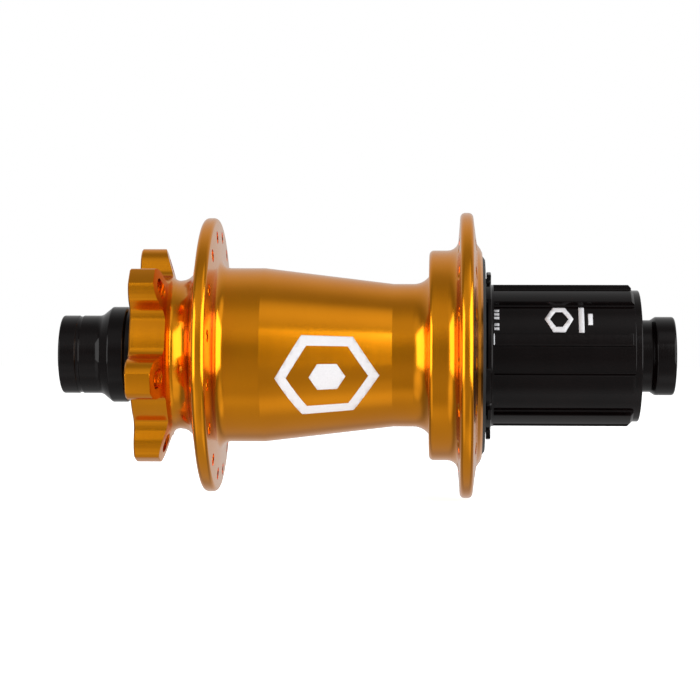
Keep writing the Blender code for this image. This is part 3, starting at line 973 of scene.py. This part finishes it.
def notch_outline(middle, floor_r):
    """A notch in the stop flange's rim, centred on an angle."""
    half, above_r = math.radians(14.5), STOP_FLANGE[2] + 2
    corners = [(*around(floor_r, middle - half), 0.8)]
    corners += [around(floor_r, middle + half * t / 5) for t in range(-4, 5)]
    corners += [(*around(floor_r, middle + half), 0.8)]
    corners += [around(above_r, middle + half + 0.03), around(above_r, middle - half - 0.03)]
    return rounded(corners)


def stop_flange_notches():
    """Notches in the rim of the stop flange, one over each wide spline, with a soft outboard edge."""
    left, right, _ = STOP_FLANGE
    steps = [(left - 1, 0), (right - 0.4, 0), (right - 0.18, 0.07), (right, 0.3), (right + 0.3, 0.3)]
    tools = []
    for i in range(1, SPLINES):
        middle = SPLINE_EDGE + 2 * math.pi * i / SPLINES - SPLINE_WIDTH / 2
        sections = [(x, notch_outline(middle, BODY_NECK_R - drop)) for x, drop in steps]
        tools.append(lofted(f"notch_{i}", sections))
    return joined("notch_tools", tools)


def pawl_pocket_tools():
    """The pockets that the pawls and their springs lie in."""
    seat = arc((0, 0), 2.0, math.radians(120), math.radians(270), 16)
    reach = [(5.2, -2.05), (7.4, -0.2), (8.0, 4.0), (-1.0, 4.0)]
    tools = []
    for i in range(PAWLS):
        outline = pawl_plane(2 * math.pi * i / PAWLS, seat + reach)
        tools.append(lofted(f"pocket_tool_{i}", [(x, outline) for x in POCKET_X]))
    return joined("pocket_tools", tools)


def cassette_body_outline(left):
    """The body's turned outline: the outside from left to right, then the bores back again."""
    seat_r = BEARINGS["outer_body_bearing"][1] + SEAT_GAP
    groove_r = seat_r + SNAP_GROOVE_DEPTH
    outer_seat_x, inner_seat_x = room_for("outer_body_bearing")[0], room_for("inner_body_bearing")[1]
    return rounded([
        (left, CARRIER_R, 0.2),
        (CARRIER_END_X, CARRIER_R, 0.15),
        (CARRIER_END_X, BODY_NECK_R, 0.2),
        (STOP_FLANGE[0], BODY_NECK_R, 0.25),
        (STOP_FLANGE[0], STOP_FLANGE[2], 0.3),
        (STOP_FLANGE[1] - 0.15, STOP_FLANGE[2], 0.05),
        (STOP_FLANGE[1], STOP_FLANGE[2] - 0.2, 0.05),
        (STOP_FLANGE[1], SPLINE_R, 0.25),
        (SPLINE_END_X - 0.7, SPLINE_R, 0.1),
        (SPLINE_END_X, SPLINE_R - 0.75, 0.05),
        (SPLINE_END_X, BODY_END[1], 0.15),
        (BODY_END[0], BODY_END[1], 0.3),
        (BODY_END[0], seat_r, 0.25),
        (SNAP_GROOVE_X[1], seat_r),
        (SNAP_GROOVE_X[1], groove_r),
        (SNAP_GROOVE_X[0], groove_r),
        (SNAP_GROOVE_X[0], seat_r),
        (outer_seat_x, seat_r),
        (outer_seat_x, BODY_BORE_R, 0.2),
        (inner_seat_x, BODY_BORE_R, 0.2),
        (inner_seat_x, seat_r),
        (left, seat_r, 0.25),
    ])


def make_cassette_body(finish):
    """The cassette body, turned first, then milled."""
    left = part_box("cassette_body")[0].x / MM
    body = turned("cassette_body_fine", cassette_body_outline(left), LARGE_SIDES)
    cut(body, spline_space_tools())
    cut(body, stop_flange_notches())
    cut(body, pawl_pocket_tools())
    return stands_for(body, "cassette_body", finish)


def make_circlip(finish):
    """An open snap ring, with an eye at each end for the pliers."""
    inner_r, outer_r = SNAP_RING_R
    opening, eye_angle, eye_r = 20, 23.5, 0.45
    angles = [math.radians(opening + (360 - 2 * opening) * i / 80) for i in range(81)]
    outline = [around(outer_r, a) for a in angles] + [around(inner_r, a) for a in reversed(angles)]
    left, right = (corner.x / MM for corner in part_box("cassette_body_circlip"))
    ring = lofted("cassette_body_circlip_fine", [(left, outline), (right, outline)])
    eyes = []
    for angle in (eye_angle, 360 - eye_angle):
        place = around((inner_r + outer_r) / 2, math.radians(angle))
        eyes.append(drill(f"eye_{angle}", [(left - 1, eye_r), (right + 1, eye_r)], place, 20))
    cut(ring, joined("eye_tools", eyes))
    stands_for(ring, "cassette_body_circlip", finish)


# ---------------------------------------------------------------- print


def shell_radius(x):
    """The barrel's radius at an x."""
    share = min(max((x - CONE_X[0]) / (CONE_X[1] - CONE_X[0]), 0), 1)
    return BARREL_R + (WAIST_R - BARREL_R) * share


def flat_print(shapes):
    """Flat convex shapes, cut into strips fine enough to wrap round a barrel."""
    work = bmesh.new()
    for shape in shapes:
        work.faces.new([work.verts.new((u, v, 0)) for u, v in shape])
    for axis, step in ((1, 0.4), (0, 1.5)):
        normal = Vector((axis == 0, axis == 1, 0))
        low = min(v.co[axis] for v in work.verts)
        high = max(v.co[axis] for v in work.verts)
        for i in range(1, int((high - low) / step) + 1):
            geometry = work.verts[:] + work.edges[:] + work.faces[:]
            bmesh.ops.bisect_plane(work, geom=geometry, plane_co=normal * (low + i * step), plane_no=normal)
    bmesh.ops.remove_doubles(work, verts=work.verts, dist=1e-5)
    return work


def printed(name, shapes, place, radius, finish, body):
    """Print wrapped round a turned surface at an (x, angle): convex shapes of (along, around)."""
    work = flat_print(shapes)
    middle_r = radius(place[0])
    for vertex in work.verts:
        x = place[0] + vertex.co.x
        angle = place[1] - vertex.co.y / middle_r
        vertex.co = Vector((x, *around(radius(x) - PRINT_SINK, angle))) * MM
    bmesh.ops.recalc_face_normals(work, faces=work.faces)
    piece = built(name, work)
    face = piece.data.polygons[0]
    facing_out = face.normal.dot(Vector((0, face.center.y, face.center.z))) > 0
    thicken = piece.modifiers.new("thickness", "SOLIDIFY")
    thicken.thickness = PRINT_THICKNESS * MM
    thicken.offset = 1 if facing_out else -1
    smooth(piece)
    piece.data.materials.append(finish)
    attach(piece, body)
    return piece


def hexagon(width, height, point):
    """A long hexagon, lying along the axle."""
    half_w, half_h = width / 2, height / 2
    return [
        (-half_w, 0),
        (-half_w + point, -half_h),
        (half_w - point, -half_h),
        (half_w, 0),
        (half_w - point, half_h),
        (-half_w + point, half_h),
    ]


def frame_of(outer, inner):
    """The band between two outlines, as convex shapes."""
    count = len(outer)
    return [[outer[i], outer[(i + 1) % count], inner[(i + 1) % count], inner[i]] for i in range(count)]


def bar(left, right, low, high):
    """A plain rectangle."""
    return [(left, low), (right, low), (right, high), (left, high)]


def spline_floor_radius(x):
    """The radius between the splines, the same at every x."""
    return SPLINE_ROOT_R


def spline_top_radius(x):
    """The splines' radius, the same at every x."""
    return SPLINE_R


def make_print(finish):
    """Plain shapes where the hub carries its print."""
    shapes = frame_of(hexagon(24.5, 19.5, 6.2), hexagon(19.3, 14.7, 4.8))
    shapes.append(hexagon(8.6, 6.2, 2.0))
    place = (-8.7, FACING + math.radians(15.5))
    printed("barrel_print", shapes, place, shell_radius, finish, "shell_group")
    shapes = frame_of(hexagon(6.8, 7.0, 2.0), hexagon(4.4, 4.2, 1.4))
    shapes += [bar(4.6, 5.9, -3.6, 3.6), bar(6.8, 7.9, -1.6, 1.6)]
    place = (45.8, BODY_PRINT_ANGLE)
    printed("cassette_body_print", shapes, place, spline_floor_radius, finish, "cassette_group")
    shapes = [bar(-0.8, 0.8, v, v + 0.75) for v in (-3.0, -1.9, -0.1, 1.0, 2.1)]
    place = (30.9, BODY_PRINT_ANGLE)
    printed("cassette_body_code", shapes, place, spline_floor_radius, finish, "cassette_group")
    shapes = [bar(-0.13, 0.13, -1.35, 1.35)]
    place = (30.45, SPLINE_EDGE - NARROW_SPLINE_WIDTH / 2)
    printed("cassette_body_index", shapes, place, spline_top_radius, finish, "cassette_group")


# ---------------------------------------------------------------- studio


def make_camera():
    """A long lens, level with the axle, that looks at the hub from its side."""
    data = bpy.data.cameras.new("camera")
    data.sensor_width = 36
    data.lens = CAMERA_LENS
    camera = new_object("camera", data)
    place = Matrix.Translation(Vector(CAMERA_PLACE) * MM)
    turn = Matrix.Rotation(math.radians(CAMERA_TURN), 4, "Z") @ Matrix.Rotation(math.radians(90), 4, "X")
    camera.matrix_world = place @ turn @ Matrix.Rotation(math.radians(CAMERA_ROLL), 4, "Z")
    bpy.context.scene.camera = camera


def towards(azimuth, elevation):
    """A direction from the hub: azimuth 0 is the camera's side, 90 the drive side."""
    a, e = math.radians(azimuth), math.radians(elevation)
    return Vector((math.sin(a) * math.cos(e), -math.cos(a) * math.cos(e), math.sin(e)))


def make_softbox(name, azimuth, elevation, distance, size, radiance):
    """A rectangular light of an even brightness, facing the hub. distance and size are in metres."""
    data = bpy.data.lights.new(name, "AREA")
    data.shape = "RECTANGLE"
    data.size, data.size_y = size
    data.energy = radiance * math.pi * size[0] * size[1]
    light = new_object(name, data)
    direction = towards(azimuth, elevation)
    light.location = direction * distance
    light.rotation_euler = direction.to_track_quat("Z", "Y").to_euler()
    light.visible_camera = False


def light_patch(world, direction, azimuth, elevation, inner, outer, strength):
    """A round patch of light with a soft edge, its radii in degrees."""
    inputs = [(0, direction), (1, towards(azimuth, elevation))]
    lean = node(world, "VectorMath", inputs, operation="DOT_PRODUCT")
    inputs = [("Value", lean.outputs["Value"]), ("From Min", math.cos(math.radians(outer)))]
    inputs += [("From Max", math.cos(math.radians(inner))), ("To Max", strength)]
    return node(world, "MapRange", inputs, interpolation_type="SMOOTHSTEP").outputs["Result"]


def make_world():
    """A plain studio: an even grey light with soft patches in it. The camera itself sees white."""
    world = bpy.data.worlds.new("studio")
    bpy.context.scene.world = world
    world.use_nodes = True
    direction = node(world, "TexCoord").outputs["Generated"]
    total = EVEN_LIGHT
    for patch in PATCHES:
        inputs = [(0, total), (1, light_patch(world, direction, *patch))]
        total = node(world, "Math", inputs, operation="ADD").outputs[0]
    seen = node(world, "LightPath").outputs["Is Camera Ray"]
    strength = node(world, "Mix", [(0, seen), (2, total), (3, 1.0)], data_type="FLOAT").outputs[0]
    background = world.node_tree.nodes["Background"]
    world.node_tree.links.new(strength, background.inputs["Strength"])
    background.inputs["Color"].default_value = (1, 1, 1, 1)


def make_floor():
    """A large round pale floor just under the flanges. The metal doesn't mirror it."""
    bpy.ops.mesh.primitive_circle_add(vertices=96, radius=4.0, fill_type="NGON")
    floor = bpy.context.object
    floor.name = "floor"
    floor.location.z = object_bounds()[0].z - 0.5 * MM
    floor.data.materials.append(material(
        "pale_floor",
        Roughness=0.9,
        Base_Color=(0.9, 0.9, 0.9, 1),
        Emission_Color=(1, 1, 1, 1),
        Emission_Strength=0.75,
    ))
    floor.visible_glossy = False


def make_studio():
    """The floor, the even light and its patches, and a softbox on each side of the camera."""
    make_floor()
    make_world()
    make_softbox("left_softbox", -49, 9, 1.3, (1.2, 1.22), 2.6)
    make_softbox("right_softbox", 53.5, 12, 1.3, (1.92, 1.42), 3.0)
    bpy.context.scene.view_settings.view_transform = "Standard"


# ---------------------------------------------------------------- all of it


def main():
    make_camera()
    gold, black, grey = gold_anodised(), black_anodised(), turned_aluminium()
    steel, rubber, nylon = hardened_steel(), black_rubber(), moulded_nylon()
    make_shell(gold)
    make_end_caps(black)
    make_axle(grey, rubber)
    make_spacers(grey)
    for name in BEARINGS:
        make_bearing(name, steel, rubber, nylon)
    make_shell_seals(rubber)
    make_drive_ring(steel)
    make_pawls(steel)
    make_cassette_body(black)
    make_circlip(steel)
    make_print(white_print())
    make_studio()


main()
